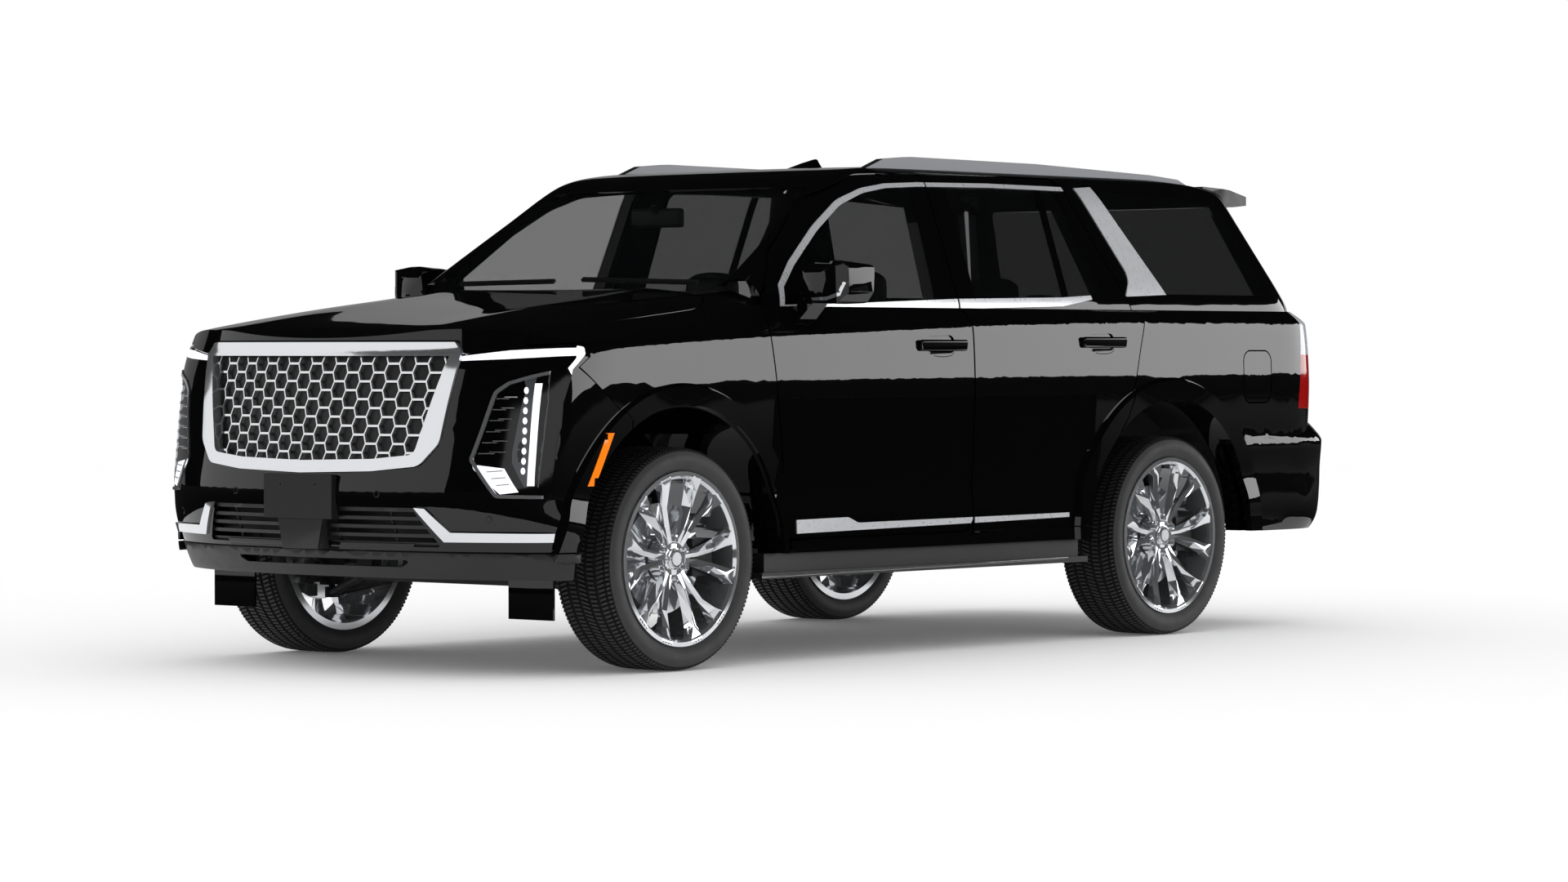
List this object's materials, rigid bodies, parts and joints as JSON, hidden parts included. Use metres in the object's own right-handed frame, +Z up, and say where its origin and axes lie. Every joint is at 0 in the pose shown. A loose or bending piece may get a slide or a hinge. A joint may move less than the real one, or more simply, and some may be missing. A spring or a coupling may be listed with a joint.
{
  "type": "sport utility vehicle",
  "caption": "Full-size long-wheelbase sport utility vehicle with opening doors, hood, tailgate and fuel door, steering front wheels and turning wheels.",
  "frame": {"origin": "on the ground, midway between the sides and midway along the overall length", "axes": "+Z up, -Y the way the vehicle faces, +X its left side"},
  "size_m": [2.383, 5.3815, 1.9619],
  "materials": {
    "paint": "gloss",
    "chassis_black": "satin",
    "chrome": "polished",
    "satin_aluminium": "satin",
    "black_plastic": "textured",
    "glass": "clear",
    "dark_glass": "tinted",
    "lamp": "clear",
    "red_lamp": "clear",
    "tyre": "rubber",
    "cast_iron": "cast",
    "steel": "satin",
    "leather": "grained",
    "carpet": "woven",
    "aluminium_case": "cast"
  },
  "bodies": {
    "chassis": {"air_dam": "black_plastic", "body_side_left": "paint", "body_side_right": "paint", "cabin_floor": "carpet", "dashboard": "black_plastic", "drivetrain": "aluminium_case", "engine_block": "cast_iron", "exhaust_system": "steel", "front_bumper": "paint", "front_fenders": "paint", "front_seats": "leather", "front_suspension": "chassis_black", "front_trim": "chrome", "fuel_tank": "black_plastic", "grille_mesh": "chrome", "grille_surround": "chrome", "headlamps": "lamp", "hitch_receiver": "chassis_black", "ladder_frame": "chassis_black", "lower_grille": "black_plastic", "plate_bracket": "black_plastic", "quarter_glass": "dark_glass", "rear_bumper": "paint", "rear_suspension": "chassis_black", "roof_panel": "paint", "roof_rails": "satin_aluminium", "running_boards": "black_plastic", "second_row_seats": "leather", "side_trim": "satin_aluminium", "tail_lamps": "red_lamp", "third_row_seat": "leather", "windscreen": "glass"},
    "front_door_left": {"front_door_left": "paint", "front_door_glass_left": "glass", "door_mirror_left": "paint", "front_door_trim_left": "satin_aluminium"},
    "rear_door_left": {"rear_door_left": "paint", "rear_door_glass_left": "dark_glass", "rear_door_trim_left": "satin_aluminium"},
    "knuckle_left": {"knuckle_left": "cast_iron"},
    "wheel_front_left": {"wheel_front_left": "chrome", "tyre_front_left": "tyre"},
    "wheel_rear_left": {"wheel_rear_left": "chrome", "tyre_rear_left": "tyre"},
    "front_door_right": {"front_door_right": "paint", "front_door_glass_right": "glass", "door_mirror_right": "paint", "front_door_trim_right": "satin_aluminium"},
    "rear_door_right": {"rear_door_right": "paint", "rear_door_glass_right": "dark_glass", "rear_door_trim_right": "satin_aluminium"},
    "knuckle_right": {"knuckle_right": "cast_iron"},
    "wheel_front_right": {"wheel_front_right": "chrome", "tyre_front_right": "tyre"},
    "wheel_rear_right": {"wheel_rear_right": "chrome", "tyre_rear_right": "tyre"},
    "hood": {"hood": "paint"},
    "tailgate": {"tailgate": "paint", "tailgate_glass": "dark_glass"},
    "fuel_door": {"fuel_door": "paint"}
  },
  "joints": [
    {"name": "front_door_left_hinge", "type": "hinge", "parent": "chassis", "child": "front_door_left", "pos_m": [0.988, -1.094, 0.995], "axis": [0, 0, -1], "range_deg": [0, 65]},
    {"name": "rear_door_left_hinge", "type": "hinge", "parent": "chassis", "child": "rear_door_left", "pos_m": [0.988, 0.078, 0.995], "axis": [0, 0, -1], "range_deg": [0, 65]},
    {"name": "steer_left", "type": "hinge", "parent": "chassis", "child": "knuckle_left", "pos_m": [0.815, -1.706, 0.412], "axis": [0, 0, 1], "range_deg": [-33, 33]},
    {"name": "wheel_front_left_spin", "type": "hinge", "parent": "knuckle_left", "child": "wheel_front_left", "pos_m": [0.87, -1.706, 0.412], "axis": [1, 0, 0], "continuous": true},
    {"name": "wheel_rear_left_spin", "type": "hinge", "parent": "chassis", "child": "wheel_rear_left", "pos_m": [0.87, 1.365, 0.412], "axis": [1, 0, 0], "continuous": true},
    {"name": "front_door_right_hinge", "type": "hinge", "parent": "chassis", "child": "front_door_right", "pos_m": [-0.988, -1.094, 0.995], "axis": [0, 0, 1], "range_deg": [0, 65]},
    {"name": "rear_door_right_hinge", "type": "hinge", "parent": "chassis", "child": "rear_door_right", "pos_m": [-0.988, 0.078, 0.995], "axis": [0, 0, 1], "range_deg": [0, 65]},
    {"name": "steer_right", "type": "hinge", "parent": "chassis", "child": "knuckle_right", "pos_m": [-0.815, -1.706, 0.412], "axis": [0, 0, 1], "range_deg": [-33, 33]},
    {"name": "wheel_front_right_spin", "type": "hinge", "parent": "knuckle_right", "child": "wheel_front_right", "pos_m": [-0.87, -1.706, 0.412], "axis": [1, 0, 0], "continuous": true},
    {"name": "wheel_rear_right_spin", "type": "hinge", "parent": "chassis", "child": "wheel_rear_right", "pos_m": [-0.87, 1.365, 0.412], "axis": [1, 0, 0], "continuous": true},
    {"name": "hood_hinge", "type": "hinge", "parent": "chassis", "child": "hood", "pos_m": [0, -1.27, 1.379], "axis": [-1, 0, 0], "range_deg": [0, 50]},
    {"name": "tailgate_hinge", "type": "hinge", "parent": "chassis", "child": "tailgate", "pos_m": [0, 2.005, 1.884], "axis": [1, 0, 0], "range_deg": [0, 80]},
    {"name": "fuel_door_hinge", "type": "hinge", "parent": "chassis", "child": "fuel_door", "pos_m": [0.994, 1.933, 1.067], "axis": [0, 0, -1], "range_deg": [0, 95]}
  ],
  "couplings": [
    {"joint": "steer_right", "follows": "steer_left", "ratio": 1}
  ]
}
